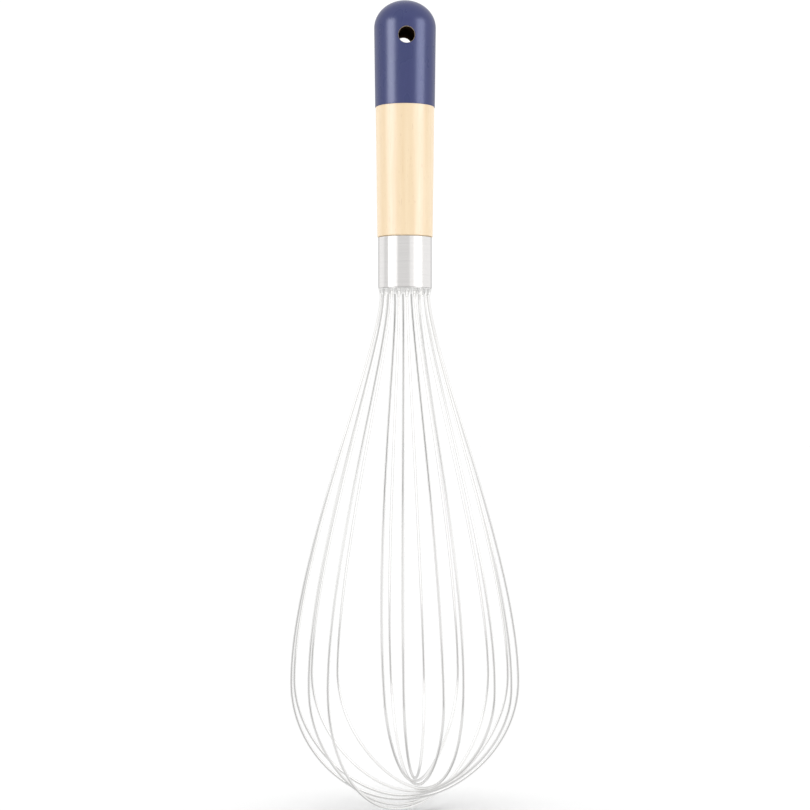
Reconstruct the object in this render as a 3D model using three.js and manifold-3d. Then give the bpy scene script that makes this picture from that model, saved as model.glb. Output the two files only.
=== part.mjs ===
// A balloon whisk: a turned wooden handle with a dipped end and a hanging hole, a steel ferrule,
// a plug that holds the wires, and nine wire loops that cross at the bottom.
// Millimetres, +Z up, with the origin at the centre of the hanging hole, whose axis is Y.
import * as THREE from "three";
import { mergeVertices } from "three/addons/utils/BufferGeometryUtils.js";
import Module from "manifold-3d";

// Handle
const GRIP_LENGTH = 88; // from the top of the rounded end to the shoulder over the ferrule
const BUTT_RADIUS = 11.5; // widest radius, where the rounded end begins
const DOME_HEIGHT = 10.2; // height of the rounded end
const SHOULDER_STEP = 0.3; // how far the wood stands out past the ferrule
const SHOULDER_EDGE = 0.25; // broken edge of the wood at the shoulder
const TENON_LENGTH = 9; // the wood that goes down into the ferrule

// Hanging hole
const HOLE_DIAMETER = 6;
const HOLE_TO_TOP = 14.6; // from the axis of the hole to the top of the handle
const HOLE_RIM = 0.15; // bare wood that shows round the mouth of the hole

// Dipped coat on the end of the handle
const COAT_LENGTH = 39.6; // from the top of the handle to the edge of the coat
const COAT_THICKNESS = 0.4;
const COAT_LIP = 0.2; // how far the coat stands out past the bare wood

// Ferrule
const FERRULE_LENGTH = 19;
const FERRULE_RADIUS = 10;
const FERRULE_WALL = 0.4;
const FERRULE_EDGE = 0.2; // broken outer edge at both ends of the tube

// Wire plug
const FLANGE_THICKNESS = 0.3;
const FLANGE_CORNER = 0.25; // round between the flange's rim and its end face
const COLLAR_HEIGHT = 2; // how far each wire's collar stands out of the end face
const COLLAR_WALL = 0.12; // wall of a collar at its tip
const COLLAR_FLARE = 0.3; // how much wider a collar is at its root

// Wires
const WIRE_DIAMETER = 1;
const BALLOON_RADIUS = 42.3; // widest radius of the balloon, at the wire's centre line
const WIDEST_DEPTH = 144; // from the tips of the collars down to the widest level
const LOWEST_DROP = 44.5; // from the widest level down to the lowest wire at the crossing
const NECK_REACH = 20; // how far a wire follows its collar's direction before it spreads
const BELLY_REACH = 44.7; // how far it runs upright above the widest level
const FIRST_LOOP_TURN = -88; // degrees from the -Y side, turning towards +X
const CROSSING_X = 3.9; // the loops cross a little off the axis, as bent by hand
const CROSSING_Y = -5.7;

// Clearances
const SEAT_GAP = 0.15; // between pieces that seat on each other
const HOLE_CLEARANCE = 0.1; // between a wire and its hole, all round
const CROSSING_GAP = 0.25; // between two wires that cross

// How each loop was bent: its lean in mm and turn in degrees at the widest level, the swing of
// its bottom along its own plane in mm, the pinch that makes its bottom narrower than an ellipse
// as a share of the width, and its place in the stack at the crossing, 0 the lowest.
const LOOPS = [
  { lean: 0, turn: -3, swing: 1.5, pinch: 0.03, level: 2 },
  { lean: 4.8, turn: 4.2, swing: 4, pinch: 0.12, level: 1 },
  { lean: 3.4, turn: 0, swing: 6, pinch: 0, level: 0 },
  { lean: 7.2, turn: 5.5, swing: 0, pinch: 0.1, level: 7 },
  { lean: 3.5, turn: -0.5, swing: 0, pinch: 0, level: 8 },
  { lean: 4, turn: -2, swing: 0, pinch: 0, level: 6 },
  { lean: -3.5, turn: -1.5, swing: 4, pinch: 0, level: 5 },
  { lean: -3.2, turn: -1.8, swing: 1, pinch: 0.08, level: 4 },
  { lean: -5, turn: -3.5, swing: -1.3, pinch: 0.1, level: 3 },
];

// Fineness of the facets
const ROUND_SEGMENTS = 36;
const DOME_STEPS = 9;
const CORNER_STEPS = 4;
const HOLE_SEGMENTS = 24;
const SOCKET_SEGMENTS = 10;
const COLLAR_SEGMENTS = 12;
const WIRE_SIDES = 8;
const FLANK_STEPS = 10;
const BELLY_STEPS = 9;
const LEG_STEPS = 1 + FLANK_STEPS + BELLY_STEPS;

// Levels along the axis
const handleTop = HOLE_TO_TOP;
const domeBase = handleTop - DOME_HEIGHT;
const coatEdge = handleTop - COAT_LENGTH;
const shoulder = handleTop - GRIP_LENGTH;
const tenonEnd = shoulder - TENON_LENGTH;
const ferruleTop = shoulder - SEAT_GAP;
const ferruleBottom = ferruleTop - FERRULE_LENGTH;
const spigotTop = tenonEnd - SEAT_GAP;
const flangeTop = ferruleBottom - SEAT_GAP;
const flangeFace = flangeTop - FLANGE_THICKNESS;
const collarTip = flangeFace - COLLAR_HEIGHT;

// Radii that fit each other
const wireRadius = WIRE_DIAMETER / 2;
const holeRadius = HOLE_DIAMETER / 2;
const neckRadius = FERRULE_RADIUS + SHOULDER_STEP + COAT_LIP;
const ferruleBore = FERRULE_RADIUS - FERRULE_WALL;
const fittedRadius = ferruleBore - SEAT_GAP;
const socketRadius = wireRadius + HOLE_CLEARANCE;
const wireRing = fittedRadius - wireRadius;
const coatInset = COAT_THICKNESS + SEAT_GAP;

const wasm = await Module();
wasm.setup();

// A closed geometry as a solid that can be cut and joined.
function toSolid(geometry) {
  const bare = geometry.clone();
  bare.deleteAttribute("normal");
  bare.deleteAttribute("uv");
  const merged = mergeVertices(bare);
  const vertProperties = merged.attributes.position.array;
  const triVerts = new Uint32Array(merged.index.array);
  return new wasm.Manifold(new wasm.Mesh({ numProp: 3, vertProperties, triVerts }));
}

// A solid back as a geometry.
function toGeometry(solid) {
  const mesh = solid.getMesh();
  const geometry = new THREE.BufferGeometry();
  geometry.setAttribute("position", new THREE.BufferAttribute(mesh.vertProperties, 3));
  geometry.setIndex(new THREE.BufferAttribute(mesh.triVerts, 1));
  geometry.computeVertexNormals();
  return geometry;
}

// A profile of radius and height turned round the Z axis, listed from the bottom up.
function turned(profile) {
  return new THREE.LatheGeometry(profile, ROUND_SEGMENTS).rotateX(Math.PI / 2);
}

// A round bar or cone along Z between two heights.
function upright(lowRadius, highRadius, low, high, segments) {
  const bar = new THREE.CylinderGeometry(highRadius, lowRadius, high - low, segments);
  return bar.rotateX(Math.PI / 2).translate(0, 0, (low + high) / 2);
}

// Radius of the handle's outside below the rounded end: a straight taper to the shoulder.
function gripRadius(z) {
  return THREE.MathUtils.mapLinear(z, domeBase, shoulder, BUTT_RADIUS, neckRadius);
}

// The rounded end as a quarter of an ellipse, drawn in by an inset, from its rim to the axis.
function domeProfile(inset) {
  const rim = BUTT_RADIUS - inset;
  const arc = new THREE.EllipseCurve(0, domeBase, rim, DOME_HEIGHT - inset, 0, Math.PI / 2);
  return arc.getPoints(DOME_STEPS);
}

// A bar along Y through the handle, to cut the hanging hole with.
function hangingHole(radius) {
  const reach = 2 * (BUTT_RADIUS + HOLE_DIAMETER);
  return toSolid(new THREE.CylinderGeometry(radius, radius, reach, HOLE_SEGMENTS));
}

// The wooden handle: tenon, shoulder, bare grip, rebate under the coat and rounded end.
function handleGeometry() {
  const rebate = coatEdge - SEAT_GAP;
  const profile = [
    new THREE.Vector2(0, tenonEnd),
    new THREE.Vector2(fittedRadius, tenonEnd),
    new THREE.Vector2(fittedRadius, shoulder),
    new THREE.Vector2(neckRadius - COAT_LIP - SHOULDER_EDGE, shoulder),
    new THREE.Vector2(gripRadius(shoulder + SHOULDER_EDGE) - COAT_LIP, shoulder + SHOULDER_EDGE),
    new THREE.Vector2(gripRadius(rebate) - COAT_LIP, rebate),
    new THREE.Vector2(gripRadius(rebate) - coatInset, rebate),
    ...domeProfile(coatInset),
  ];
  return toGeometry(toSolid(turned(profile)).subtract(hangingHole(holeRadius)));
}

// The dipped coat: a thin cap over the rounded end, open where the hanging hole goes through.
function coatGeometry() {
  const profile = [
    ...domeProfile(COAT_THICKNESS).reverse(),
    new THREE.Vector2(gripRadius(coatEdge) - COAT_THICKNESS, coatEdge),
    new THREE.Vector2(gripRadius(coatEdge), coatEdge),
    ...domeProfile(0),
  ];
  return toGeometry(toSolid(turned(profile)).subtract(hangingHole(holeRadius + HOLE_RIM)));
}

// The ferrule: a drawn steel tube with its outer edges broken.
function ferruleGeometry() {
  const edge = FERRULE_EDGE;
  const profile = [
    new THREE.Vector2(ferruleBore, ferruleBottom),
    new THREE.Vector2(FERRULE_RADIUS - edge, ferruleBottom),
    new THREE.Vector2(FERRULE_RADIUS, ferruleBottom + edge),
    new THREE.Vector2(FERRULE_RADIUS, ferruleTop - edge),
    new THREE.Vector2(FERRULE_RADIUS - edge, ferruleTop),
    new THREE.Vector2(ferruleBore, ferruleTop),
    new THREE.Vector2(ferruleBore, ferruleBottom),
  ];
  return turned(profile);
}

// Compass angle of a loop's first leg, in radians.
function loopAngle(index) {
  return THREE.MathUtils.degToRad(FIRST_LOOP_TURN + (index * 180) / LOOPS.length);
}

// The two places on the plug where a loop's legs go in.
function legPlaces(index) {
  const x = wireRing * Math.sin(loopAngle(index));
  const y = -wireRing * Math.cos(loopAngle(index));
  return [
    [x, y],
    [-x, -y],
  ];
}

// The wire plug: a spigot in the ferrule with open flutes for the wires' ends, and a rounded
// flange that closes the ferrule, with a short flared collar round each wire.
function plugGeometry() {
  const corner = Math.min(FLANGE_CORNER, FLANGE_THICKNESS);
  const round = new THREE.EllipseCurve(
    FERRULE_RADIUS - corner,
    flangeFace + corner,
    corner,
    corner,
    -Math.PI / 2,
    0,
  );
  const profile = [
    new THREE.Vector2(0, flangeFace),
    ...round.getPoints(CORNER_STEPS),
    new THREE.Vector2(FERRULE_RADIUS, flangeTop),
    new THREE.Vector2(fittedRadius, flangeTop),
    new THREE.Vector2(fittedRadius, spigotTop),
    new THREE.Vector2(0, spigotTop),
  ];
  const tip = socketRadius + COLLAR_WALL;
  const root = tip + COLLAR_FLARE;
  const collar = upright(tip, root, collarTip, flangeTop - SEAT_GAP, COLLAR_SEGMENTS);
  const low = collarTip - WIRE_DIAMETER;
  const high = spigotTop + WIRE_DIAMETER;
  const socket = upright(socketRadius, socketRadius, low, high, SOCKET_SEGMENTS);
  const places = LOOPS.flatMap((_, index) => legPlaces(index));
  let plug = toSolid(turned(profile));
  for (const [x, y] of places) {
    plug = plug.add(toSolid(collar.clone().translate(x, y, 0)));
  }
  for (const [x, y] of places) {
    plug = plug.subtract(toSolid(socket.clone().translate(x, y, 0)));
  }
  return toGeometry(plug);
}

// The centre line of one loop. Each leg runs straight down through the plug, spreads along a
// cubic curve to the widest level and turns along a quarter of an ellipse to the bottom. The
// loop leans and turns in step with the depth, and below the widest level it draws over to
// the crossing, where it lies at its own height in the stack.
class WireLoop extends THREE.Curve {
  constructor(index) {
    super();
    const { lean, turn, swing, pinch, level } = LOOPS[index];
    const angle = loopAngle(index);
    const along = CROSSING_X * Math.sin(angle) - CROSSING_Y * Math.cos(angle) - swing;
    const rise = level * (WIRE_DIAMETER + CROSSING_GAP);
    const halfWidth = BALLOON_RADIUS * (1 - pinch);
    this.angle = angle;
    this.lean = lean;
    this.turn = THREE.MathUtils.degToRad(turn);
    this.swing = swing;
    this.pinch = pinch;
    this.drop = (LOWEST_DROP - rise) / Math.sqrt(1 - (along / halfWidth) ** 2);
    const acrossAtCrossing = CROSSING_X * Math.cos(angle) + CROSSING_Y * Math.sin(angle);
    this.draw = acrossAtCrossing - (lean * (WIDEST_DEPTH + this.drop)) / WIDEST_DEPTH;
  }

  // Distance from the loop's middle, depth below the collars, and how far round the bottom.
  station(steps) {
    if (steps < 1) {
      return { reach: wireRing, depth: (collarTip - spigotTop) * (1 - steps), bottom: 0 };
    }
    const flank = (steps - 1) / FLANK_STEPS;
    if (flank < 1) {
      const spread = flank * flank * (3 - 2 * flank);
      const early = 3 * flank * (1 - flank) ** 2 * NECK_REACH;
      const late = 3 * flank * flank * (1 - flank) * (WIDEST_DEPTH - BELLY_REACH);
      return {
        reach: wireRing + (BALLOON_RADIUS - wireRing) * spread,
        depth: early + late + flank ** 3 * WIDEST_DEPTH,
        bottom: 0,
      };
    }
    const belly = (((steps - 1 - FLANK_STEPS) / BELLY_STEPS) * Math.PI) / 2;
    const bottom = Math.sin(belly) ** 2;
    return {
      reach: BALLOON_RADIUS * Math.cos(belly) * (1 - this.pinch * bottom),
      depth: WIDEST_DEPTH + this.drop * Math.sin(belly),
      bottom,
    };
  }

  getPoint(t, target = new THREE.Vector3()) {
    const side = t < 0.5 ? 1 : -1;
    const { reach, depth, bottom } = this.station((1 - Math.abs(2 * t - 1)) * LEG_STEPS);
    const share = Math.max(depth, 0) / WIDEST_DEPTH;
    const angle = this.angle + this.turn * share;
    const out = side * reach + this.swing * bottom;
    const across = this.lean * share + this.draw * bottom;
    const x = out * Math.sin(angle) + across * Math.cos(angle);
    const y = -out * Math.cos(angle) + across * Math.sin(angle);
    return target.set(x, y, collarTip - depth);
  }

  // Steps along the curve follow its own parameter, so that they fall on its bends.
  getPointAt(u, target) {
    return this.getPoint(u, target);
  }

  getTangentAt(u, target) {
    return this.getTangent(u, target);
  }
}

// One wire loop: a round section carried along its centre line.
function wireGeometry(index) {
  const section = new THREE.Shape().absarc(0, 0, wireRadius, 0, 2 * Math.PI);
  return new THREE.ExtrudeGeometry(section, {
    steps: 2 * LEG_STEPS,
    curveSegments: WIRE_SIDES / 2,
    bevelEnabled: false,
    extrudePath: new WireLoop(index),
  });
}

const bareWood = { color: 0xf3ddb8, roughness: 0.55, metalness: 0 };
const blueCoat = { color: 0x474c74, roughness: 0.35, metalness: 0 };
const brushedSteel = { color: 0xd2d0ce, roughness: 0.28, metalness: 1 };
const plugSteel = { color: 0xc4c3c2, roughness: 0.35, metalness: 1 };
const springWire = { color: 0xcfcecd, roughness: 0.18, metalness: 1 };

const whisk = new THREE.Group();

function addPiece(name, geometry, finish) {
  const mesh = new THREE.Mesh(geometry, new THREE.MeshStandardMaterial(finish));
  mesh.name = name;
  whisk.add(mesh);
}

addPiece("handle", handleGeometry(), bareWood);
addPiece("dip_coat", coatGeometry(), blueCoat);
addPiece("ferrule", ferruleGeometry(), brushedSteel);
addPiece("wire_plug", plugGeometry(), plugSteel);
LOOPS.forEach((_, index) => addPiece(`wire_loop_${index + 1}`, wireGeometry(index), springWire));

export default whisk;
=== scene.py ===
"""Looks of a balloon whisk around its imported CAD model, laid out as a Blender add-on.

Every piece is a surface worked out with numpy, in metres and in the CAD frame: +Z runs up the axis
of the handle, Y runs along the hanging hole, and the origin is the middle of that hole.
"""
import math
from collections import namedtuple

import bmesh
import bpy
import numpy as np
from bpy.props import FloatProperty, FloatVectorProperty, PointerProperty
from bpy.types import NodeSocket, Operator, Panel, PropertyGroup
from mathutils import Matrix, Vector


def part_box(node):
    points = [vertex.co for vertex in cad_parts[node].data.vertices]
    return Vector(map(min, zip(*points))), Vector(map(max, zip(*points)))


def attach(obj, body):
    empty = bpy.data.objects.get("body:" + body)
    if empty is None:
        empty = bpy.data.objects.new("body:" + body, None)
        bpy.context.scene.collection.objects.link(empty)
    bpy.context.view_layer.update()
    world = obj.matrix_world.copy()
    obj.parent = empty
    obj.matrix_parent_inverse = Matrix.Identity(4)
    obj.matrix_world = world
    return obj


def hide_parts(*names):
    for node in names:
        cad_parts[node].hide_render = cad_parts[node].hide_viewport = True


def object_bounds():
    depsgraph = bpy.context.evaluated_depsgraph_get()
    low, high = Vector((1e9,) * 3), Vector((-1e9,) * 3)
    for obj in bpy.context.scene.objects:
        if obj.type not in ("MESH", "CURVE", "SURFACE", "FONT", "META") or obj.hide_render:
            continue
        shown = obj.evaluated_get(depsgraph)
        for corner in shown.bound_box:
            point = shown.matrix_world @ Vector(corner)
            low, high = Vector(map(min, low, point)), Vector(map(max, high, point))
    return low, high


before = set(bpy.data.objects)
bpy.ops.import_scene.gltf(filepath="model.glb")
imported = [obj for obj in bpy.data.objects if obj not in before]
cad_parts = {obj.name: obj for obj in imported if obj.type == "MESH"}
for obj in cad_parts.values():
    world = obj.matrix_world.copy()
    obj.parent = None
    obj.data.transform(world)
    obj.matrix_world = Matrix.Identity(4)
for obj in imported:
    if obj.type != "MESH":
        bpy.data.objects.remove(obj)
CAD_LOW, CAD_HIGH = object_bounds()

bl_info = {
    "name": "Balloon whisk",
    "version": (1, 0, 0),
    "blender": (4, 5, 0),
    "location": "View3D > Sidebar > Whisk",
    "description": "Builds a wooden-handled balloon whisk and its studio",
    "category": "Add Mesh",
}

BODY = "root"
COAT_LOW, COAT_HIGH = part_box("dip_coat")
HANDLE_LOW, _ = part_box("handle")
FERRULE_LOW, FERRULE_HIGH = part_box("ferrule")
PLUG_LOW, PLUG_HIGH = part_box("wire_plug")

# How each loop was bent: its lean and turn at the widest level, the swing of its bottom along its
# own plane, the pinch that makes its bottom narrower than an ellipse, and its place in the stack
# at the crossing, 0 the lowest. Millimetres and degrees.
LoopBend = namedtuple("LoopBend", "lean turn swing pinch level")
LOOP_BENDS = (
    LoopBend(lean=0, turn=-3, swing=1.5, pinch=0.03, level=2),
    LoopBend(lean=4.8, turn=4.2, swing=4, pinch=0.12, level=1),
    LoopBend(lean=3.4, turn=0, swing=6, pinch=0, level=0),
    LoopBend(lean=7.2, turn=5.5, swing=0, pinch=0.1, level=7),
    LoopBend(lean=3.5, turn=-0.5, swing=0, pinch=0, level=8),
    LoopBend(lean=4, turn=-2, swing=0, pinch=0, level=6),
    LoopBend(lean=-3.5, turn=-1.5, swing=4, pinch=0, level=5),
    LoopBend(lean=-3.2, turn=-1.8, swing=1, pinch=0.08, level=4),
    LoopBend(lean=-5, turn=-3.5, swing=-1.3, pinch=0.1, level=3),
)
MILLIMETRE = 0.001

# Fineness of the surfaces: counts of steps, the window round the hanging hole that rings fill, and
# the distance under which two points fall together. The shift keeps round numbers off the borders
# of the cells that are compared.
TURN_STEPS = 128
HOLE_COLUMNS = 18
HOLE_ROWS = 18
HOLE_TOP_ROWS = 2
HOLE_RINGS = 8
HOLE_HALF_HEIGHT = 0.0042
HOLE_HALF_TURN = math.pi * HOLE_COLUMNS / TURN_STEPS
ROUND_STEPS = 6
DOME_STEPS = 28
RUN_STEP = 0.0008
COLLAR_SIDES = 32
COLLAR_STEPS = 18
WIRE_SIDES = 16
FLANK_STEPS = 150
BELLY_STEPS = 90
SOCKET_STEPS = 6
WELD = 2e-7
WELD_SHIFT = 0.137
SHARP_ANGLE = math.radians(38)

# Size of the blots in each finish's patterns, in metres along X, Y and Z
STREAK_SIZE = (0.0032, 0.0032, 0.07)
FIBRE_SIZE = (0.00035, 0.00035, 0.012)
FLECK_SIZE = (0.0004, 0.0004, 0.0026)
DRILL_RING_SIZE = (0.004, 0.0003, 0.004)
CLOUD_SIZE = (0.006, 0.006, 0.012)
RIPPLE_SIZE = (0.0011, 0.0011, 0.0014)
STEEL_PATCH_SIZE = (0.004, 0.004, 0.006)
TURNED_LINE_SIZE = (0.02, 0.02, 0.00012)
PRESSED_LINE_SIZE = (0.002, 0.002, 0.002)
DRAWN_LINE_SIZE = (0.00012, 0.00012, 0.01)

# How far a pattern raises the surface, in metres
FIBRE_HEIGHT = 0.00005
DRILL_RING_HEIGHT = 0.0001
RIPPLE_HEIGHT = 0.00005
STEEL_LINE_HEIGHT = 0.00002

# The painted shade that fades out in the wood beside the drilled hole, and how much brighter or
# darker a pattern's second shade is than its first
HOLE_SHADE_RING = (0.0002, 0.0005)
DRILL_RING_SHADE = 2.2
STEEL_LINE_SHADE = 0.88

# Where the surround changes, as ranges over which one part of it fades into the next. The flag goes
# by the X of a direction, the sides by how squarely it faces the camera, and the rest by its Z.
FLAG_EDGE = (-0.985, -0.94)
FLOOR_MIDDLE = (-0.95, -0.7)
FLOOR_EDGE = (-0.36, -0.2)
ROOM_FOOT = (-0.4, -0.28)
ROOM_DARKENS = (0.36, 0.54)
ROOM_HEAD = (0.5, 0.6)
ROOM_SIDES = (0.55, 0.75)
BACK_SIDES = (-0.9, -0.72)
FLAG_SHARE = 0.76
WALL_SHARE = 0.95
FLOOR_REACH = 6.0
CAMERA_CLIP = (0.05, 50.0)


def length(name, description, default):
    """A property that holds a length in metres."""
    return FloatProperty(
        name=name, description=description, default=default, unit="LENGTH", precision=5
    )


def turn_angle(name, description, degrees):
    """A property that holds an angle, given here in degrees."""
    default = math.radians(degrees)
    return FloatProperty(name=name, description=description, default=default, subtype="ANGLE")


def brightness(name, description, default):
    """A property that holds a brightness, with 1 for white."""
    return FloatProperty(name=name, description=description, default=default, min=0)


def colour(name, description, default):
    """A property that holds a linear colour."""
    return FloatVectorProperty(
        name=name, description=description, default=default, subtype="COLOR", min=0, max=1
    )


class WhiskSizes(PropertyGroup):
    """Sizes of the whisk's pieces that the frame's boxes don't give."""

    dome_height: length("Dome height", "Height of the handle's rounded end", 0.0102)
    shoulder_step: length("Shoulder step", "How far the wood stands out past the ferrule", 0.0003)
    shoulder_round: length("Shoulder round", "Broken edge of the wood at the shoulder", 0.00025)
    hole_diameter: length("Hole diameter", "Bore of the hanging hole", 0.006)
    hole_rim: length("Hole rim", "Bare wood that shows round the mouth of the hole", 0.00015)
    hole_lip: length("Hole lip", "Round on the edge of the hole", 0.0001)
    coat_thickness: length("Coat thickness", "Thickness of the dipped coat", 0.0004)
    coat_lip: length("Coat lip", "How far the coat stands out past the bare wood", 0.0002)
    seat_gap: length("Seat gap", "Gap between pieces that seat on each other", 0.00015)
    ferrule_wall: length("Ferrule wall", "Wall of the ferrule's tube", 0.0004)
    ferrule_edge: length("Ferrule edge", "Round on the outer edges of the ferrule", 0.0002)
    flange_thickness: length("Flange thickness", "Thickness of the wire plug's flange", 0.0003)
    flange_seam: length("Flange seam", "Gap that shows between the ferrule and the flange", 0.00006)
    flange_corner: length("Flange corner", "Round on the rim of the flange", 0.00025)
    collar_wall: length("Collar wall", "Wall of a wire's collar at its tip", 0.00014)
    collar_flare: length("Collar flare", "How much wider a collar is at its root", 0.00038)
    wire_diameter: length("Wire diameter", "Thickness of the wire", 0.001)
    balloon_radius: length("Balloon radius", "Widest radius of the wires' centre lines", 0.0423)
    widest_depth: length("Widest depth", "From the collars' tips to the widest level", 0.144)
    lowest_drop: length("Lowest drop", "From the widest level to the lowest crossing", 0.0445)
    neck_reach: length("Neck reach", "How far a wire follows its collar's direction", 0.02)
    belly_reach: length("Belly reach", "How far a wire runs upright to the widest level", 0.0447)
    crossing_x: length("Crossing X", "Where the loops cross, off the axis", 0.0039)
    crossing_y: length("Crossing Y", "Where the loops cross, off the axis", -0.0057)
    crossing_gap: length("Crossing gap", "Gap between two wires that cross", 0.00025)
    first_turn: turn_angle("First turn", "Compass angle of the first loop, from -Y to +X", -88)


class WhiskColours(PropertyGroup):
    """Colours of the whisk's finishes."""

    wood: colour("Wood", "Pale wood between its darker streaks", (0.812, 0.643, 0.42))
    wood_streak: colour("Wood streak", "Darker streaks of the grain", (0.756, 0.567, 0.332))
    wood_fleck: colour("Wood fleck", "Small brown flecks in the grain", (0.495, 0.293, 0.142))
    # Near-black painted shade for the inside of the hanging hole, not a colour of the wood
    bore_painted_shade: colour("Bore painted shade", "Dark wall of the drilled hole", (0.02, 0.011, 0.005))
    coat: colour("Coat", "Blue-violet dipped coat", (0.045, 0.0552, 0.142))
    coat_cloud: colour("Coat cloud", "Faint clouding of the coat", (0.0526, 0.058, 0.1545))
    ferrule: colour("Ferrule", "Stainless steel of the ferrule", (0.79, 0.775, 0.765))
    plug: colour("Plug", "Stainless steel of the wire plug", (0.85, 0.845, 0.835))
    wire: colour("Wire", "Bright drawn wire", (0.88, 0.875, 0.865))
    floor: colour("Floor", "Pale floor", (0.3, 0.3, 0.3))


class WhiskStudio(PropertyGroup):
    """Camera and light of the studio."""

    camera_distance: length("Camera distance", "From the axis of the whisk", 0.689)
    camera_height: length("Camera height", "Level of the camera in the frame", -0.1359)
    camera_turn: turn_angle("Camera turn", "Compass angle of the camera, from -Y to +X", -3.2)
    camera_lens: FloatProperty(
        name="Camera lens", description="Focal length in millimetres", default=82.2
    )
    backdrop: brightness("Backdrop", "The wall that the camera sees", 1.05)
    surround: brightness("Surround", "White walls and ceiling", 1.15)
    dim_side: brightness("Dim side", "The room behind the camera", 0.5)
    dim_high: brightness("Dim high", "That room towards its ceiling", 0.05)
    dim_back: brightness("Dim back", "The far wall, as the pieces mirror it", 0.7)
    underside: brightness("Underside", "What the steel mirrors below", 0.9)
    straight_below: brightness("Straight below", "What the steel mirrors straight below", 0.55)
    floor_gap: length("Floor gap", "From the lowest wire down to the floor", 0.0022)
    floor_sun: brightness("Floor light", "Strength of the light on the floor", 7.7)
    floor_tilt: turn_angle("Floor light tilt", "How far behind the whisk the light stands", 12)
    floor_softness: turn_angle("Floor light softness", "How wide the light looks", 45)


# Soft rectangular lights that face the axis: the pieces that each falls on, its compass angle in
# degrees, its width, how far from the axis it is, the level of its middle and its height, all in
# metres, its brightness and its tint. A light shows in full, only as gloss or only as fill. Of two
# that overlap, the pieces mirror the nearer one.
Softbox = namedtuple(
    "Softbox",
    "group name turn width brightness far middle height tint shows",
    defaults=(1, 0.13, 0.84, (1, 1, 1), "all"),
)
BLUISH = (0.735, 0.75, 0.83)


def gloss(group, name, **sizes):
    """A softbox that shows only where a piece mirrors it."""
    return Softbox(group, name, shows="gloss", **sizes)


def front_light(group, name, **sizes):
    """A softbox close in front of the wires and wider than the balloon."""
    return Softbox(group, name, turn=-3, width=0.4, **sizes)


SOFTBOXES = (
    Softbox(
        "handle", "fill", turn=-3, width=1.6, middle=0, height=1, brightness=1.23, shows="fill"
    ),
    gloss("coat", "left", turn=-57, width=0.54, brightness=15),
    gloss("coat", "right", turn=57, width=0.61, brightness=13, tint=BLUISH),
    gloss("wood", "left", turn=-57, width=0.54, brightness=9),
    gloss("wood", "right", turn=57, width=0.61, brightness=7.5),
    gloss("wood", "rim_left", turn=-125, width=1.4, middle=0, height=1, brightness=1),
    gloss("wood", "rim_right", turn=125, width=1.4, middle=0, height=1, brightness=0.8),
    Softbox("ferrule", "left", turn=-57.4, width=0.78, brightness=0.85),
    Softbox("ferrule", "front", turn=-9.7, width=1, brightness=0.38),
    Softbox("ferrule", "spill", turn=24.8, width=0.28, brightness=0.61),
    Softbox("ferrule", "right", turn=53.3, width=0.75, brightness=0.85),
    front_light("wires", "front", far=0.18, middle=-0.1425, height=0.115, brightness=0.35),
    front_light("wires", "low", far=0.18, middle=-0.235, height=0.07, brightness=0.1),
    front_light("side_wires", "front", far=0.19, middle=-0.05, height=0.2, brightness=0.2),
    front_light("right_wires", "front", far=0.2, middle=-0.0875, height=0.125, brightness=0.48),
    front_light("seventh_wire", "front", far=0.2, middle=-0.03, height=0.03, brightness=0.48),
    Softbox(
        "wires", "inner", turn=0, width=0.08, far=0, middle=-0.162, height=0.142, brightness=0.5
    ),
    Softbox(
        "plug", "back", turn=180, width=0.3, far=0.3, middle=-0.11, height=0.16, brightness=0.7
    ),
    Softbox(
        "plug", "inner", turn=0, width=0.016, far=0, middle=-0.106, height=0.024, brightness=0.6
    ),
)

# A grid of points on a piece, the cells of it that stay, and which of the piece's materials it has
Patch = namedtuple("Patch", "grid keep finish", defaults=(None, 0))


def grid_quads(grid, keep=None):
    """Corner numbers of each cell of a grid of points that is stored row by row."""
    rows, columns = grid.shape[:2]
    number = np.arange(rows * columns).reshape(rows, columns)
    corners = (number[:-1, :-1], number[:-1, 1:], number[1:, 1:], number[1:, :-1])
    quads = np.stack(corners, -1)
    return quads.reshape(-1, 4) if keep is None else quads[keep]


def turned(radii, heights, turns):
    """A profile carried round Z: x = r sin(turn), y = -r cos(turn), z = height."""
    radii, heights = np.asarray(radii)[:, None], np.asarray(heights)[:, None]
    across = radii * np.sin(turns)
    away = -radii * np.cos(turns)
    return np.stack([across, away, heights + 0 * turns], -1)


def full_turn(steps):
    """Compass angles all the way round, with the seam on the side of the handle."""
    return np.linspace(-math.pi / 2, 1.5 * math.pi, steps + 1)


def run(start, end):
    """Points along a straight stretch of a profile, without its end, about a step apart."""
    start, end = np.asarray(start, float), np.asarray(end, float)
    count = max(1, round(float(np.linalg.norm(end - start)) / RUN_STEP))
    share = np.arange(count)[:, None] / count
    return start + share * (end - start)


def arc(centre, radius, first, last):
    """Points of a circular arc of a profile, by its angles in degrees, both ends included."""
    angle = np.radians(np.linspace(first, last, ROUND_STEPS + 1))[:, None]
    return np.asarray(centre) + radius * np.concatenate([np.cos(angle), np.sin(angle)], 1)


def weld(points, quads):
    """Joins points that fall together, and splits the quads into triangles with some area.

    Gives the points that stay, the triangles, and the quad that each triangle came from.
    """
    cells = np.round(points / WELD + WELD_SHIFT).astype(np.int64)
    _, first, group = np.unique(cells, axis=0, return_index=True, return_inverse=True)
    triangles = np.concatenate([quads[:, [0, 1, 2]], quads[:, [0, 2, 3]]])
    triangles = group.reshape(-1)[triangles]
    a, b, c = triangles.T
    whole = (a != b) & (b != c) & (c != a)
    return first, triangles[whole], np.tile(np.arange(len(quads)), 2)[whole]


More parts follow.
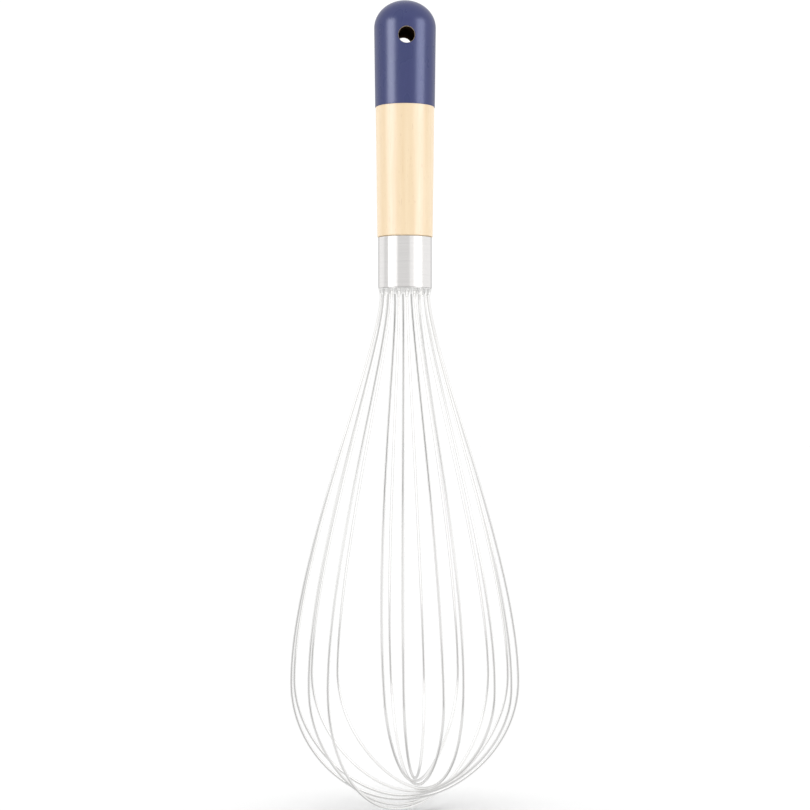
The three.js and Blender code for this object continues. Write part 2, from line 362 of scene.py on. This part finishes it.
def add_piece(name, patches, materials, nodes, marks=None):
    """One closed mesh out of several patches, each a grid of points and the cells that it keeps.

    marks holds vectors for every point, by name, that the material reads as attributes.
    """
    points = np.concatenate([patch.grid.reshape(-1, 3) for patch in patches])
    starts = np.cumsum([0] + [patch.grid[..., 0].size for patch in patches])
    parts = [grid_quads(patch.grid, patch.keep) for patch in patches]
    quads = np.concatenate([part + start for part, start in zip(parts, starts)])
    finish = np.repeat([patch.finish for patch in patches], [len(part) for part in parts])
    first, triangles, source = weld(points, quads)
    mesh = bpy.data.meshes.new(name)
    mesh.from_pydata(points[first].tolist(), [], triangles.tolist())
    for material in materials:
        mesh.materials.append(material)
    mesh.polygons.foreach_set("material_index", finish[source].astype(np.int32))
    for mark, vectors in (marks or {}).items():
        attribute = mesh.attributes.new(mark, "FLOAT_VECTOR", "POINT")
        attribute.data.foreach_set("vector", vectors.reshape(-1, 3)[first].ravel())
    solid = bmesh.new()
    solid.from_mesh(mesh)
    bmesh.ops.recalc_face_normals(solid, faces=solid.faces)
    solid.to_mesh(mesh)
    solid.free()
    mesh.shade_smooth()
    mesh.set_sharp_from_angle(angle=SHARP_ANGLE)
    piece = bpy.data.objects.new(name, mesh)
    bpy.context.scene.collection.objects.link(piece)
    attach(piece, BODY)
    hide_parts(*nodes)
    return piece


def add_node(tree, kind, inputs=None, **settings):
    """Adds a shader node and fills its inputs with values or with other nodes' outputs."""
    node = tree.nodes.new(kind)
    for setting, value in settings.items():
        setattr(node, setting, value)
    for socket, value in (inputs or {}).items():
        if isinstance(value, NodeSocket):
            tree.links.new(value, node.inputs[socket])
        else:
            node.inputs[socket].default_value = value
    return node


def new_material(name):
    """An empty material with its node tree and its shader."""
    material = bpy.data.materials.new(name)
    material.use_nodes = True
    tree = material.node_tree
    return material, tree, tree.nodes["Principled BSDF"]


def stretched_noise(tree, where, size, detail=3.0):
    """Noise whose blots have the given size along each axis, in metres."""
    scale = tuple(1 / extent for extent in size)
    placed = add_node(tree, "ShaderNodeMapping", {"Vector": where, "Scale": scale})
    inputs = {"Vector": placed.outputs["Vector"], "Scale": 1.0, "Detail": detail}
    return add_node(tree, "ShaderNodeTexNoise", inputs).outputs["Fac"]


def remap(tree, value, source, target):
    """A value moved from one range to another, and held inside it."""
    inputs = {
        "Value": value,
        "From Min": source[0],
        "From Max": source[1],
        "To Min": target[0],
        "To Max": target[1],
    }
    return add_node(tree, "ShaderNodeMapRange", inputs).outputs["Result"]


def product(tree, first, second):
    """Two numbers multiplied."""
    inputs = {0: first, 1: second}
    return add_node(tree, "ShaderNodeMath", inputs, operation="MULTIPLY").outputs[0]


def between(tree, share, first, second):
    """A number between two others."""
    return add_node(tree, "ShaderNodeMix", {0: share, 2: first, 3: second}).outputs[0]


def mixed(tree, share, first, second):
    """A colour between two others."""
    inputs = {0: share, 6: first, 7: second}
    return add_node(tree, "ShaderNodeMix", inputs, data_type="RGBA").outputs[2]


def opaque(rgb):
    """A colour property as the four numbers that a socket takes."""
    return (*rgb, 1.0)


def bumped(tree, shader, height, strength, distance):
    """Raises a shader's surface by a height pattern."""
    inputs = {"Height": height, "Strength": strength, "Distance": distance}
    bump = add_node(tree, "ShaderNodeBump", inputs)
    tree.links.new(bump.outputs["Normal"], shader.inputs["Normal"])


def object_place(tree):
    """Place on the piece, in metres."""
    return add_node(tree, "ShaderNodeTexCoord").outputs["Object"]


def hole_shade_share(tree, place, sizes):
    """How much painted shade from the drilled hole the wood takes, by its distance from the hole's
    axis.
    """
    axes = add_node(tree, "ShaderNodeSeparateXYZ", {"Vector": place})
    flat = {"X": axes.outputs["X"], "Y": axes.outputs["Z"]}
    from_axis = add_node(tree, "ShaderNodeCombineXYZ", flat).outputs["Vector"]
    distance = add_node(tree, "ShaderNodeVectorMath", {0: from_axis}, operation="LENGTH")
    ring = tuple(sizes.hole_diameter / 2 + reach for reach in HOLE_SHADE_RING)
    return remap(tree, distance.outputs["Value"], ring, (0.45, 0.0))


def wood_material(colours, sizes):
    """Pale turned wood: long soft streaks, fine fibres, small flecks, and painted shade round the
    drilled hole.
    """
    material, tree, shader = new_material("pale_wood")
    place = object_place(tree)
    streak = stretched_noise(tree, place, STREAK_SIZE, 4.0)
    fibre = stretched_noise(tree, place, FIBRE_SIZE)
    fleck = stretched_noise(tree, place, FLECK_SIZE, 1.0)
    layers = (
        (remap(tree, streak, (0.38, 0.68), (0.0, 0.75)), colours.wood_streak),
        (remap(tree, fibre, (0.45, 0.75), (0.0, 0.35)), colours.wood_streak),
        (remap(tree, fleck, (0.66, 0.74), (0.0, 0.22)), colours.wood_fleck),
        # painted shade that darkens the wood round the mouth of the hole
        (hole_shade_share(tree, place, sizes), colours.bore_painted_shade),
    )
    shade = opaque(colours.wood)
    for share, stain in layers:
        shade = mixed(tree, share, shade, opaque(stain))
    tree.links.new(shade, shader.inputs["Base Color"])
    tree.links.new(remap(tree, fibre, (0.3, 0.7), (0.36, 0.46)), shader.inputs["Roughness"])
    shader.inputs["Specular Tint"].default_value = (0.6, 0.75, 1.0, 1.0)
    bumped(tree, shader, fibre, 0.12, FIBRE_HEIGHT)
    return material


def drilled_material(colours):
    """Rough wall of the drilled hole, painted near black as shade for its inside, and ringed by the
    drill.
    """
    material, tree, shader = new_material("drilled_wall")
    place = object_place(tree)
    ring = stretched_noise(tree, place, DRILL_RING_SIZE)
    paler = tuple(DRILL_RING_SHADE * part for part in colours.bore_painted_shade)
    share = remap(tree, ring, (0.4, 0.7), (0.0, 1.0))
    shade = mixed(tree, share, opaque(colours.bore_painted_shade), opaque(paler))
    tree.links.new(shade, shader.inputs["Base Color"])
    tree.links.new(remap(tree, ring, (0.3, 0.7), (0.85, 1.0)), shader.inputs["Roughness"])
    shader.inputs["Specular IOR Level"].default_value = 0.0
    bumped(tree, shader, ring, 0.3, DRILL_RING_HEIGHT)
    return material


def coat_material(colours):
    """Satin dipped coat: faint clouds of colour and the slight ripple of a thick paint."""
    material, tree, shader = new_material("dipped_coat")
    place = object_place(tree)
    cloud = stretched_noise(tree, place, CLOUD_SIZE)
    ripple = stretched_noise(tree, place, RIPPLE_SIZE, 1.0)
    share = remap(tree, cloud, (0.15, 0.85), (0.0, 1.0))
    shade = mixed(tree, share, opaque(colours.coat), opaque(colours.coat_cloud))
    tree.links.new(shade, shader.inputs["Base Color"])
    tree.links.new(remap(tree, cloud, (0.15, 0.85), (0.25, 0.31)), shader.inputs["Roughness"])
    shader.inputs["Specular IOR Level"].default_value = 0.22
    shader.inputs["Specular Tint"].default_value = (0.84, 0.88, 1.0, 1.0)
    bumped(tree, shader, ripple, 0.05, RIPPLE_HEIGHT)
    return material


def steel_material(name, rgb, where, lines, roughness, scratch):
    """Steel with fine lines that vary its shade and its surface, and with patches of gloss."""
    material, tree, shader = new_material(name)
    place = where(tree)
    line = stretched_noise(tree, place, lines, 4.0)
    patch = stretched_noise(tree, place, STEEL_PATCH_SIZE, 2.0)
    darker = tuple(STEEL_LINE_SHADE * part for part in rgb)
    share = remap(tree, line, (0.35, 0.7), (0.0, 0.7))
    shade = mixed(tree, share, opaque(rgb), opaque(darker))
    tree.links.new(shade, shader.inputs["Base Color"])
    shader.inputs["Metallic"].default_value = 1.0
    tree.links.new(remap(tree, patch, (0.3, 0.7), roughness), shader.inputs["Roughness"])
    bumped(tree, shader, line, scratch, STEEL_LINE_HEIGHT)
    return material


def drawn_place(tree):
    """Place on the wire as it was before it was bent, from the mark on its points."""
    return add_node(tree, "ShaderNodeAttribute", attribute_name="drawn").outputs["Vector"]


class HandleShape:
    """The turned outline of the handle: a straight taper under a quarter of an ellipse."""

    def __init__(self, sizes):
        self.butt = COAT_HIGH.x
        self.dome = sizes.dome_height
        self.dome_base = COAT_HIGH.z - sizes.dome_height
        self.shoulder = FERRULE_HIGH.z + sizes.seat_gap
        self.neck = FERRULE_HIGH.x + sizes.shoulder_step + sizes.coat_lip
        self.rebate = COAT_LOW.z - sizes.seat_gap

    def radius(self, height, inset):
        """Radius of the taper, drawn in by an inset."""
        levels = (self.shoulder, self.dome_base)
        return np.interp(height, levels, (self.neck, self.butt)) - inset

    def side(self, low, high, inset):
        """Profile up the taper, with even rows beside the hanging hole."""
        even = np.linspace(-HOLE_HALF_HEIGHT, HOLE_HALF_HEIGHT, HOLE_ROWS + 1)
        below = np.linspace(low, even[0], max(2, round((even[0] - low) / RUN_STEP)))[:-1]
        above = np.linspace(even[-1], high, HOLE_TOP_ROWS + 1)[1:]
        heights = np.concatenate([below, even, above])
        return np.stack([self.radius(heights, inset), heights], 1)

    def rounded_end(self, inset):
        """Profile of the dome, r = a cos(t) and z = b sin(t), from its rim to the axis."""
        angle = np.linspace(0, math.pi / 2, DOME_STEPS + 1)[1:]
        radii = (self.butt - inset) * np.cos(angle)
        heights = self.dome_base + (self.dome - inset) * np.sin(angle)
        return np.stack([radii, heights], 1)


def hole_window(profile):
    """The turned grid of a profile, and the cells that stay when both hole mouths are cut out."""
    turns = full_turn(TURN_STEPS)
    grid = turned(profile[:, 0], profile[:, 1], turns)
    middle_turn = (turns[:-1] + turns[1:]) / 2
    middle_height = (profile[:-1, 1] + profile[1:, 1]) / 2
    outside = np.minimum(abs(middle_turn), abs(middle_turn - math.pi)) > HOLE_HALF_TURN
    keep = outside[None, :] | (abs(middle_height) > HOLE_HALF_HEIGHT)[:, None]
    return Patch(grid, keep)


def hole_mouth(radius_at, hole, lip):
    """Rings from the window in a turned surface to the round hole through it, on the -Y side.

    The rings blend turn and height from the window's rim to the hole's circle, which lies on the
    surface, and a lip then rounds over into the hole along a quarter of a circle.
    """
    turns = np.linspace(-HOLE_HALF_TURN, HOLE_HALF_TURN, HOLE_COLUMNS + 1)
    heights = np.linspace(-HOLE_HALF_HEIGHT, HOLE_HALF_HEIGHT, HOLE_ROWS + 1)
    right, left = np.full(HOLE_ROWS, turns[-1]), np.full(HOLE_ROWS + 1, turns[0])
    low, high = np.full(HOLE_COLUMNS, heights[0]), np.full(HOLE_COLUMNS, heights[-1])
    turn = np.concatenate([turns[:-1], right, turns[:0:-1], left])
    height = np.concatenate([low, heights[:-1], high, heights[::-1]])
    bearing = np.arctan2(height / HOLE_HALF_HEIGHT, turn / HOLE_HALF_TURN)
    edge = hole + lip
    edge_height = edge * np.sin(bearing)
    edge_turn = np.arcsin(edge * np.cos(bearing) / radius_at(edge_height))
    share = np.linspace(1, 0, HOLE_RINGS + 1)[:, None]
    ring_turn = edge_turn + share * (turn - edge_turn)
    ring_height = edge_height + share * (height - edge_height)
    ring_radius = radius_at(ring_height)
    across, away = ring_radius * np.sin(ring_turn), -ring_radius * np.cos(ring_turn)
    rings = np.stack([across, away, ring_height], -1)
    if lip == 0:
        return rings
    roll = np.linspace(0, math.pi / 2, ROUND_STEPS + 1)[1:, None]
    lip_radius = hole + lip * (1 - np.sin(roll))
    x, z = lip_radius * np.cos(bearing), lip_radius * np.sin(bearing)
    y = lip * (1 - np.cos(roll)) - np.sqrt(radius_at(z) ** 2 - x**2)
    return np.concatenate([rings, np.stack([x, y, z], -1)])


def both_sides(grid):
    """A grid on the -Y side, and its mirror image on the +Y side."""
    return [Patch(grid), Patch(grid * (1, -1, 1))]


def handle_patches(sizes):
    """The wood: tenon, shoulder, grip, rebate under the coat, rounded end and the drilled hole."""
    shape = HandleShape(sizes)
    lip, inset = sizes.coat_lip, sizes.coat_thickness + sizes.seat_gap
    fitted = FERRULE_HIGH.x - sizes.ferrule_wall - sizes.seat_gap
    edge = sizes.shoulder_round
    rim = shape.radius(shape.shoulder + edge, lip)
    rebate = shape.rebate
    profile = np.concatenate(
        [
            run((0, HANDLE_LOW.z), (fitted, HANDLE_LOW.z)),
            run((fitted, HANDLE_LOW.z), (fitted, shape.shoulder)),
            run((fitted, shape.shoulder), (rim - edge, shape.shoulder)),
            arc((rim - edge, shape.shoulder + edge), edge, -90, 0),
            run((rim, shape.shoulder + edge), (shape.radius(rebate, lip), rebate))[1:],
            run((shape.radius(rebate, lip), rebate), (shape.radius(rebate, inset), rebate)),
            shape.side(rebate, shape.dome_base, inset),
            shape.rounded_end(inset),
        ]
    )
    mouth = hole_mouth(
        lambda z: shape.radius(z, inset), sizes.hole_diameter / 2, sizes.hole_lip / 2
    )
    front = mouth[-1]
    depth = np.linspace(1, -1, 2 * HOLE_ROWS + 1)[:, None, None]
    tube = front * np.array((1, 0, 1)) + depth * front * np.array((0, 1, 0))
    return [hole_window(profile), *both_sides(mouth), Patch(tube, finish=1)]


def coat_patches(sizes):
    """The dipped coat: an outer skin with a rounded lower edge, an inner one, and round mouths."""
    shape = HandleShape(sizes)
    thick, edge = sizes.coat_thickness, sizes.coat_lip
    hole = sizes.hole_diameter / 2 + sizes.hole_rim
    low = shape.rebate
    rim = shape.radius(low + edge, 0)
    outer = np.concatenate(
        [
            run((shape.radius(low, thick), low), (rim - edge, low)),
            arc((rim - edge, low + edge), edge, -90, 0)[:-1],
            shape.side(low + edge, shape.dome_base, 0),
            shape.rounded_end(0),
        ]
    )
    inner = np.concatenate(
        [shape.side(low, shape.dome_base, thick), shape.rounded_end(thick)]
    )
    outer_mouth = hole_mouth(lambda z: shape.radius(z, 0), hole, sizes.hole_lip)
    inner_mouth = hole_mouth(lambda z: shape.radius(z, thick), hole, 0)
    wall = np.stack([outer_mouth[-1], inner_mouth[-1]])
    mouths = [both_sides(grid) for grid in (outer_mouth, inner_mouth, wall)]
    return [hole_window(outer), hole_window(inner), *sum(mouths, [])]


def ferrule_patches(sizes):
    """The ferrule: the closed profile of a tube with rounded outer edges, carried round Z."""
    low, high, radius = FERRULE_LOW.z, FERRULE_HIGH.z, FERRULE_HIGH.x
    bore, edge = radius - sizes.ferrule_wall, sizes.ferrule_edge
    profile = np.concatenate(
        [
            run((bore, low), (radius - edge, low)),
            arc((radius - edge, low + edge), edge, -90, 0)[:-1],
            run((radius, low + edge), (radius, high - edge)),
            arc((radius - edge, high - edge), edge, 0, 90)[:-1],
            run((radius - edge, high), (bore, high)),
            run((bore, high), (bore, low)),
            [(bore, low)],
        ]
    )
    return [Patch(turned(profile[:, 0], profile[:, 1], full_turn(TURN_STEPS)))]


def wire_ring(sizes):
    """Radius of the ring on which the wires leave the plug."""
    bore = FERRULE_HIGH.x - sizes.ferrule_wall
    return bore - sizes.seat_gap - sizes.wire_diameter / 2


def loop_angles(sizes):
    """Compass angle of each loop's first leg."""
    return sizes.first_turn + np.arange(len(LOOP_BENDS)) * math.pi / len(LOOP_BENDS)


def plug_patches(sizes):
    """The plug: a core and a thin rounded flange carried round Z, and a flared collar at each wire.

    A collar's radius falls from root to tip as the square of the way left to the tip.
    """
    face = FERRULE_LOW.z - sizes.seat_gap - sizes.flange_thickness
    top, tip = FERRULE_LOW.z - sizes.flange_seam, PLUG_LOW.z
    radius, corner = FERRULE_HIGH.x, sizes.flange_corner
    wire, ring = sizes.wire_diameter / 2, wire_ring(sizes)
    core = ring - wire - sizes.seat_gap
    profile = np.concatenate(
        [
            run((0, face), (radius - corner, face)),
            arc((radius - corner, face + corner), corner, -90, 0),
            run((radius, top), (core, top)),
            run((core, top), (core, PLUG_HIGH.z)),
            run((core, PLUG_HIGH.z), (0, PLUG_HIGH.z)),
            [(0, PLUG_HIGH.z)],
        ]
    )
    patches = [Patch(turned(profile[:, 0], profile[:, 1], full_turn(TURN_STEPS)))]
    sink = sizes.flange_thickness / 2
    share = np.linspace(0, 1, COLLAR_STEPS + 1)
    outer = wire + sizes.collar_wall + sizes.collar_flare * (1 - share) ** 2
    outline = np.stack([outer, face + (tip - face) * share], 1)
    collar = np.concatenate(
        [
            [(wire, face + sink), (outer[0], face + sink)],
            outline,
            [(wire, tip), (wire, face + sink)],
        ]
    )
    upright = turned(collar[:, 0], collar[:, 1], full_turn(COLLAR_SIDES))
    for angle in (*loop_angles(sizes), *(loop_angles(sizes) + math.pi)):
        place = np.array((ring * math.sin(angle), -ring * math.cos(angle), 0))
        patches.append(Patch(upright + place))
    return patches


def loop_leg(sizes, bend, angle):
    """One leg of a loop from its end in the plug to the bottom: reach, depth, bottom share, drop.

    In the plug it runs straight. Down the flank the reach follows a smooth step and the depth a
    cubic curve, and below the widest level both follow a quarter of an ellipse that is pinched.
    """
    ring, radius = wire_ring(sizes), sizes.balloon_radius
    socket = np.linspace(PLUG_LOW.z - PLUG_HIGH.z, 0, SOCKET_STEPS + 1)[:-1]
    flank = np.linspace(0, 1, FLANK_STEPS + 1)[:-1]
    belly = np.linspace(0, math.pi / 2, BELLY_STEPS + 1)
    along = sizes.crossing_x * math.sin(angle) - sizes.crossing_y * math.cos(angle)
    along -= bend.swing * MILLIMETRE
    rise = bend.level * (sizes.wire_diameter + sizes.crossing_gap)
    slope = math.sqrt(1 - (along / (radius * (1 - bend.pinch))) ** 2)
    drop = (sizes.lowest_drop - rise) / slope
    early = 3 * flank * (1 - flank) ** 2 * sizes.neck_reach
    late = 3 * flank**2 * (1 - flank) * (sizes.widest_depth - sizes.belly_reach)
    spread = ring + (radius - ring) * flank**2 * (3 - 2 * flank)
    bottom = np.sin(belly) ** 2
    reach = np.concatenate(
        [0 * socket + ring, spread, radius * np.cos(belly) * (1 - bend.pinch * bottom)]
    )
    depth = np.concatenate(
        [
            socket,
            early + late + flank**3 * sizes.widest_depth,
            sizes.widest_depth + drop * np.sin(belly),
        ]
    )
    return reach, depth, np.concatenate([0 * socket, 0 * flank, bottom]), drop


def loop_path(sizes, bend, angle):
    """Centre line of a loop, and the direction across its plane at each point.

    The loop leans and turns in step with its depth, and below the widest level it swings along
    its plane and draws over to the crossing.
    """
    reach, depth, bottom, drop = loop_leg(sizes, bend, angle)
    lean = bend.lean * MILLIMETRE
    meeting = sizes.crossing_x * math.cos(angle) + sizes.crossing_y * math.sin(angle)
    draw = meeting - lean * (sizes.widest_depth + drop) / sizes.widest_depth
    share = np.maximum(depth, 0) / sizes.widest_depth
    turn = angle + math.radians(bend.turn) * share
    across = lean * share + draw * bottom
    legs = []
    for side in (1, -1):
        out = side * reach + bend.swing * MILLIMETRE * bottom
        x = out * np.sin(turn) + across * np.cos(turn)
        y = across * np.sin(turn) - out * np.cos(turn)
        legs.append(np.stack([x, y, PLUG_LOW.z - depth], 1))
    plane = np.stack([np.cos(turn), np.sin(turn), 0 * turn], 1)
    path = np.concatenate([legs[0], legs[1][-2::-1]])
    return path, np.concatenate([plane, plane[-2::-1]])


def unit(vectors):
    """Vectors with their lengths made one."""
    return vectors / np.linalg.norm(vectors, axis=-1, keepdims=True)


def wire_grid(path, plane, radius):
    """A round section carried along a path, closed at both ends.

    Its points are path + radius (cos(a) side + sin(a) over), with side square to the path and as
    near to the plane's normal as can be. The mark is the same wire laid out straight.
    """
    ahead = unit(np.gradient(path, axis=0))
    side = unit(plane - ahead * np.sum(ahead * plane, 1, keepdims=True))
    over = np.cross(ahead, side)
    ends = np.array([0, *range(len(path)), len(path) - 1])
    width = np.full(len(ends), radius)
    width[[0, -1]] = 0
    angle = np.linspace(0, 2 * math.pi, WIRE_SIDES + 1)
    round_x = width[:, None] * np.cos(angle)
    round_y = width[:, None] * np.sin(angle)
    tube = path[ends, None] + round_x[..., None] * side[ends, None]
    tube = tube + round_y[..., None] * over[ends, None]
    steps = np.linalg.norm(np.diff(path, axis=0), axis=1)
    distance = np.concatenate([[0], np.cumsum(steps)])[ends]
    return tube, np.stack([round_x, round_y, distance[:, None] + 0 * angle], -1)


class WHISK_OT_handle(Operator):
    """Build the turned wooden handle"""

    bl_idname = "whisk.handle"
    bl_label = "Handle"

    def execute(self, context):
        sizes, colours = context.scene.whisk_sizes, context.scene.whisk_colours
        wood = [wood_material(colours, sizes), drilled_material(colours)]
        add_piece("turned_handle", handle_patches(sizes), wood, ["handle"])
        return {"FINISHED"}


class WHISK_OT_dip_coat(Operator):
    """Build the dipped coat on the end of the handle"""

    bl_idname = "whisk.dip_coat"
    bl_label = "Dipped coat"

    def execute(self, context):
        sizes, colours = context.scene.whisk_sizes, context.scene.whisk_colours
        coat = coat_material(colours)
        add_piece("end_coat", coat_patches(sizes), [coat], ["dip_coat"])
        return {"FINISHED"}


class WHISK_OT_ferrule(Operator):
    """Build the steel ferrule"""

    bl_idname = "whisk.ferrule"
    bl_label = "Ferrule"

    def execute(self, context):
        sizes, colours = context.scene.whisk_sizes, context.scene.whisk_colours
        steel = steel_material(
            "polished_tube",
            colours.ferrule,
            object_place,
            lines=TURNED_LINE_SIZE,
            roughness=(0.14, 0.2),
            scratch=0.05,
        )
        add_piece("steel_ferrule", ferrule_patches(sizes), [steel], ["ferrule"])
        return {"FINISHED"}


class WHISK_OT_wire_plug(Operator):
    """Build the plug and the collars that hold the wires"""

    bl_idname = "whisk.wire_plug"
    bl_label = "Wire plug"

    def execute(self, context):
        sizes, colours = context.scene.whisk_sizes, context.scene.whisk_colours
        steel = steel_material(
            "pressed_steel",
            colours.plug,
            object_place,
            lines=PRESSED_LINE_SIZE,
            roughness=(0.3, 0.38),
            scratch=0.02,
        )
        add_piece("collared_plug", plug_patches(sizes), [steel], ["wire_plug"])
        return {"FINISHED"}


class WHISK_OT_wire_loops(Operator):
    """Build the crossing wire loops"""

    bl_idname = "whisk.wire_loops"
    bl_label = "Wire loops"

    def execute(self, context):
        sizes, colours = context.scene.whisk_sizes, context.scene.whisk_colours
        bright = steel_material(
            "drawn_wire",
            colours.wire,
            drawn_place,
            lines=DRAWN_LINE_SIZE,
            roughness=(0.12, 0.2),
            scratch=0.08,
        )
        for number, (bend, angle) in enumerate(zip(LOOP_BENDS, loop_angles(sizes)), start=1):
            path, plane = loop_path(sizes, bend, angle)
            grid, drawn = wire_grid(path, plane, sizes.wire_diameter / 2)
            add_piece(
                f"bent_wire_{number}",
                [Patch(grid)],
                [bright],
                [f"wire_loop_{number}"],
                {"drawn": drawn},
            )
        return {"FINISHED"}


def lit_group(name, pieces):
    """A collection of the pieces that a light falls on."""
    group = bpy.data.collections.new(name)
    for piece in pieces:
        group.objects.link(bpy.data.objects[piece])
    return group


def add_lamp(name, kind, place, turned_to, group):
    """A lamp that falls only on the pieces of a group, and that the camera doesn't see."""
    light = bpy.data.lights.new(name, kind)
    lamp = bpy.data.objects.new(name, light)
    lamp.location, lamp.rotation_euler = place, turned_to
    lamp.visible_camera = False
    lamp.light_linking.receiver_collection = group
    bpy.context.scene.collection.objects.link(lamp)
    return lamp


def add_softbox(softbox, group):
    """A soft rectangular light that faces the axis of the whisk."""
    turn, far = math.radians(softbox.turn), softbox.far
    place = (far * math.sin(turn), -far * math.cos(turn), softbox.middle)
    name = f"softbox_{softbox.group}_{softbox.name}"
    lamp = add_lamp(name, "AREA", place, (math.pi / 2, 0, turn), group)
    lamp.visible_diffuse = softbox.shows != "gloss"
    lamp.visible_glossy = softbox.shows != "fill"
    light = lamp.data
    light.shape = "RECTANGLE"
    light.size, light.size_y = softbox.width, softbox.height
    light.energy = softbox.brightness * math.pi * light.size * light.size_y
    light.color = softbox.tint


def add_floor(studio, colours):
    """A wide pale floor just under the lowest wire, lit from above and a little behind."""
    reach, level = FLOOR_REACH, CAD_LOW.z - studio.floor_gap
    mesh = bpy.data.meshes.new("studio_floor")
    corners = [(-reach, -reach, level), (reach, -reach, level), (reach, reach, level)]
    mesh.from_pydata([*corners, (-reach, reach, level)], [], [(0, 1, 2, 3)])
    material, _, shader = new_material("pale_floor")
    shader.inputs["Base Color"].default_value = opaque(colours.floor)
    shader.inputs["Roughness"].default_value = 0.9
    shader.inputs["Specular IOR Level"].default_value = 0.0
    mesh.materials.append(material)
    floor = bpy.data.objects.new("studio_floor", mesh)
    bpy.context.scene.collection.objects.link(floor)
    floor.visible_glossy = False
    lit = lit_group("floor", ["studio_floor"])
    light = add_lamp("floor_light", "SUN", (0, 1, 1), (-studio.floor_tilt, 0, 0), lit).data
    light.energy, light.angle = studio.floor_sun, studio.floor_softness


def add_surround(studio):
    """White walls that the pieces mirror, with duller parts that fade in over ranges of direction.

    They are a grey flag on the left, a dim room behind the camera that darkens upwards, a dim far
    wall, and a floor that is darkest straight below. The camera itself sees an even backdrop.
    """
    world = bpy.data.worlds.new("white_surround")
    world.use_nodes = True
    tree = world.node_tree
    way = add_node(tree, "ShaderNodeTexCoord").outputs["Generated"]
    axes = add_node(tree, "ShaderNodeSeparateXYZ", {"Vector": way})
    across, rise = axes.outputs["X"], axes.outputs["Z"]
    to_camera = (math.sin(studio.camera_turn), -math.cos(studio.camera_turn), 0)
    facing = add_node(
        tree, "ShaderNodeVectorMath", {0: way, 1: to_camera}, operation="DOT_PRODUCT"
    ).outputs["Value"]
    flag, white = FLAG_SHARE * studio.surround, WALL_SHARE * studio.surround
    wall = remap(tree, across, FLAG_EDGE, (flag, white))
    floor = remap(tree, rise, FLOOR_MIDDLE, (studio.straight_below, studio.underside))
    walls = between(tree, remap(tree, rise, FLOOR_EDGE, (1.0, 0.0)), wall, floor)
    over_foot = remap(tree, rise, ROOM_FOOT, (0.0, 1.0))
    level = product(tree, over_foot, remap(tree, rise, ROOM_HEAD, (1.0, 0.0)))
    in_room = product(tree, remap(tree, facing, ROOM_SIDES, (0.0, 1.0)), level)
    room = remap(tree, rise, ROOM_DARKENS, (studio.dim_side, studio.dim_high))
    near = between(tree, in_room, walls, room)
    at_back = product(tree, remap(tree, facing, BACK_SIDES, (1.0, 0.0)), level)
    lit = between(tree, at_back, near, studio.dim_back)
    seen = add_node(tree, "ShaderNodeLightPath").outputs["Is Camera Ray"]
    strength = between(tree, seen, lit, studio.backdrop)
    background = tree.nodes["Background"]
    background.inputs["Color"].default_value = (1.0, 1.0, 1.0, 1.0)
    tree.links.new(strength, background.inputs["Strength"])
    bpy.context.scene.world = world


def add_camera(studio):
    """A level camera that faces the axis of the whisk."""
    data = bpy.data.cameras.new("photo_camera")
    data.lens = studio.camera_lens
    data.clip_start, data.clip_end = CAMERA_CLIP
    camera = bpy.data.objects.new("photo_camera", data)
    turn, far = studio.camera_turn, studio.camera_distance
    camera.location = (far * math.sin(turn), -far * math.cos(turn), studio.camera_height)
    camera.rotation_euler = (math.pi / 2, 0, turn)
    bpy.context.scene.collection.objects.link(camera)
    bpy.context.scene.camera = camera


class WHISK_OT_stage(Operator):
    """Build the floor, the surround, the softboxes and the camera"""

    bl_idname = "whisk.stage"
    bl_label = "Stage"

    def execute(self, context):
        studio = context.scene.whisk_studio
        add_floor(studio, context.scene.whisk_colours)
        add_surround(studio)
        wires = [f"bent_wire_{number}" for number in range(1, len(LOOP_BENDS) + 1)]
        groups = {
            "handle": ["turned_handle", "end_coat"],
            "coat": ["end_coat"],
            "wood": ["turned_handle"],
            "ferrule": ["steel_ferrule", "collared_plug"],
            "plug": ["collared_plug"],
            "wires": wires,
            "side_wires": wires[:3] + wires[-3:],
            "right_wires": wires[:1] + wires[-2:],
            "seventh_wire": wires[6:7],
        }
        lit = {name: lit_group(name, pieces) for name, pieces in groups.items()}
        for softbox in SOFTBOXES:
            add_softbox(softbox, lit[softbox.group])
        add_camera(studio)
        context.scene.view_settings.view_transform = "Standard"
        return {"FINISHED"}


OPERATORS = (
    WHISK_OT_handle,
    WHISK_OT_dip_coat,
    WHISK_OT_ferrule,
    WHISK_OT_wire_plug,
    WHISK_OT_wire_loops,
    WHISK_OT_stage,
)
SETTINGS = {
    "whisk_sizes": WhiskSizes,
    "whisk_colours": WhiskColours,
    "whisk_studio": WhiskStudio,
}


class WHISK_PT_panel(Panel):
    """Lists the whisk's operators and settings"""

    bl_idname = "WHISK_PT_panel"
    bl_label = "Balloon whisk"
    bl_space_type = "VIEW_3D"
    bl_region_type = "UI"
    bl_category = "Whisk"

    def draw(self, context):
        for operator in OPERATORS:
            self.layout.operator(operator.bl_idname)
        for setting, group in SETTINGS.items():
            box = self.layout.box()
            for name in group.__annotations__:
                box.prop(getattr(context.scene, setting), name)


def register():
    """Adds the classes and the scene's settings to Blender."""
    for item in (*SETTINGS.values(), *OPERATORS, WHISK_PT_panel):
        bpy.utils.register_class(item)
    for setting, group in SETTINGS.items():
        setattr(bpy.types.Scene, setting, PointerProperty(type=group))


def unregister():
    """Takes the settings and the classes out of Blender again."""
    for setting in SETTINGS:
        delattr(bpy.types.Scene, setting)
    for item in (WHISK_PT_panel, *reversed(OPERATORS), *SETTINGS.values()):
        bpy.utils.unregister_class(item)


def main():
    register()
    bpy.ops.whisk.handle()
    bpy.ops.whisk.dip_coat()
    bpy.ops.whisk.ferrule()
    bpy.ops.whisk.wire_plug()
    bpy.ops.whisk.wire_loops()
    bpy.ops.whisk.stage()


if __name__ == "__main__":
    main()
